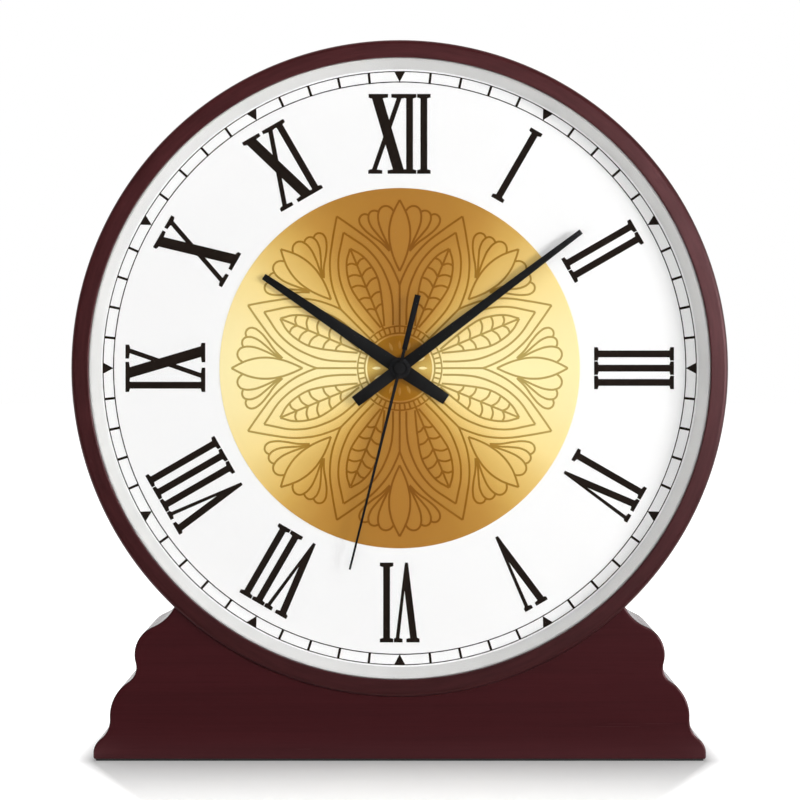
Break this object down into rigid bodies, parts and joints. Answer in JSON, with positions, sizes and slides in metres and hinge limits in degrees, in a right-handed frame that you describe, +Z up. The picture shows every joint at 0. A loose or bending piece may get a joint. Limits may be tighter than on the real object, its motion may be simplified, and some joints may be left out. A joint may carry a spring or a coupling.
{
  "type": "table clock",
  "caption": "Round dial with Roman numerals in a dark wooden ring on a scalloped wooden base, with a quartz movement that turns hour, minute and second hands.",
  "frame": {"origin": "middle of the footprint, on the table under the felt", "axes": "+X to the right seen from the front, +Y from the front to the back, +Z up"},
  "size_m": [0.3, 0.055, 0.3296],
  "materials": {
    "ring_wood": "dark mahogany, satin lacquer",
    "base_wood": "dark mahogany, satin lacquer",
    "block_wood": "plain softwood",
    "fibreboard": "medium density fibreboard, bare",
    "cover_board": "thin fibreboard, dark stain",
    "felt": "felt",
    "lens_glass": "clear float glass",
    "rehaut_white": "white, satin",
    "dial_white": "white, matt",
    "dial_ink": "black printing ink",
    "gilt": "brushed gilt foil",
    "hand_black": "black, satin",
    "zinc_steel": "zinc plated",
    "brass": "turned",
    "rubber": "matt",
    "case_black": "fine spark texture",
    "wheel_white": "moulded acetal",
    "wheel_brown": "moulded acetal",
    "plate_grey": "moulded",
    "magnet_grey": "sintered magnet",
    "lamination": "rolled sheet",
    "copper_wire": "enamelled copper wire",
    "bobbin_plastic": "moulded",
    "circuit_green": "solder resist",
    "resin_black": "potting resin",
    "crystal_can": "drawn can",
    "contact_spring": "nickel plated strip",
    "cell_wrap": "plain wrap, bare steel tip",
    "knob_black": "moulded"
  },
  "bodies": {
    "case": {"frame_ring": "ring_wood", "base_block": "base_wood", "base_felt": "felt", "base_screws": "zinc_steel", "glass_lens": "lens_glass", "rehaut_ring": "rehaut_white", "dial_plate": "dial_white", "medallion": "gilt", "minute_track": "dial_ink", "hour_numerals": "dial_ink", "dial_board": "fibreboard", "cover_blocks": "block_wood", "rear_cover": "cover_board", "cover_screws": "zinc_steel", "movement_case": "case_black", "movement_cover": "case_black", "separator_plate": "plate_grey", "threaded_bushing": "brass", "hex_nut": "brass", "nut_washer": "zinc_steel", "rubber_gasket": "rubber", "stator": "lamination", "coil_core": "lamination", "coil_bobbin": "bobbin_plastic", "coil_winding": "copper_wire", "circuit_board": "circuit_green", "quartz_crystal": "crystal_can", "chip_resin": "resin_black", "battery_cell": "cell_wrap", "positive_contact": "contact_spring", "negative_contact": "contact_spring"},
    "minute_work": {"cannon_pinion": "wheel_brown", "centre_wheel": "wheel_white", "minute_hand": "hand_black", "minute_collet": "hand_black"},
    "hour_work": {"hour_wheel": "wheel_white", "hour_hand": "hand_black", "hour_collet": "hand_black"},
    "second_work": {"second_wheel": "wheel_white", "second_hand": "hand_black", "second_collet": "hand_black", "second_cap": "hand_black"},
    "motion_work": {"motion_wheel": "wheel_white"},
    "third_work": {"third_wheel": "wheel_white"},
    "fifth_work": {"fifth_wheel": "wheel_white"},
    "rotor": {"rotor_pinion": "wheel_brown", "rotor_magnet": "magnet_grey"},
    "setting_work": {"setting_shaft": "wheel_brown", "setting_knob": "knob_black"}
  },
  "joints": [
    {"name": "minute_turn", "type": "hinge", "parent": "case", "child": "minute_work", "pos_m": [0, 0, 0.1796], "axis": [0, 1, 0], "continuous": true},
    {"name": "hour_turn", "type": "hinge", "parent": "case", "child": "hour_work", "pos_m": [0, 0, 0.1796], "axis": [0, 1, 0], "continuous": true},
    {"name": "second_turn", "type": "hinge", "parent": "case", "child": "second_work", "pos_m": [0, 0, 0.1796], "axis": [0, 1, 0], "continuous": true},
    {"name": "motion_turn", "type": "hinge", "parent": "case", "child": "motion_work", "pos_m": [0.00677, 0, 0.17714], "axis": [0, 1, 0], "continuous": true},
    {"name": "third_turn", "type": "hinge", "parent": "case", "child": "third_work", "pos_m": [-0.00779, 0, 0.1841], "axis": [0, 1, 0], "continuous": true},
    {"name": "fifth_turn", "type": "hinge", "parent": "case", "child": "fifth_work", "pos_m": [0.00375, 0, 0.1861], "axis": [0, 1, 0], "continuous": true},
    {"name": "rotor_turn", "type": "hinge", "parent": "case", "child": "rotor", "pos_m": [0.00715, 0, 0.19198], "axis": [0, 1, 0], "continuous": true},
    {"name": "setting_turn", "type": "hinge", "parent": "case", "child": "setting_work", "pos_m": [0.01372, 0, 0.17527], "axis": [0, 1, 0], "continuous": true}
  ],
  "couplings": [
    {"joint": "hour_turn", "follows": "minute_turn", "ratio": 0.083333},
    {"joint": "second_turn", "follows": "minute_turn", "ratio": 60},
    {"joint": "motion_turn", "follows": "minute_turn", "ratio": -0.33333},
    {"joint": "third_turn", "follows": "minute_turn", "ratio": -7.5},
    {"joint": "fifth_turn", "follows": "minute_turn", "ratio": -240},
    {"joint": "rotor_turn", "follows": "minute_turn", "ratio": 1800},
    {"joint": "setting_turn", "follows": "minute_turn", "ratio": 1}
  ]
}
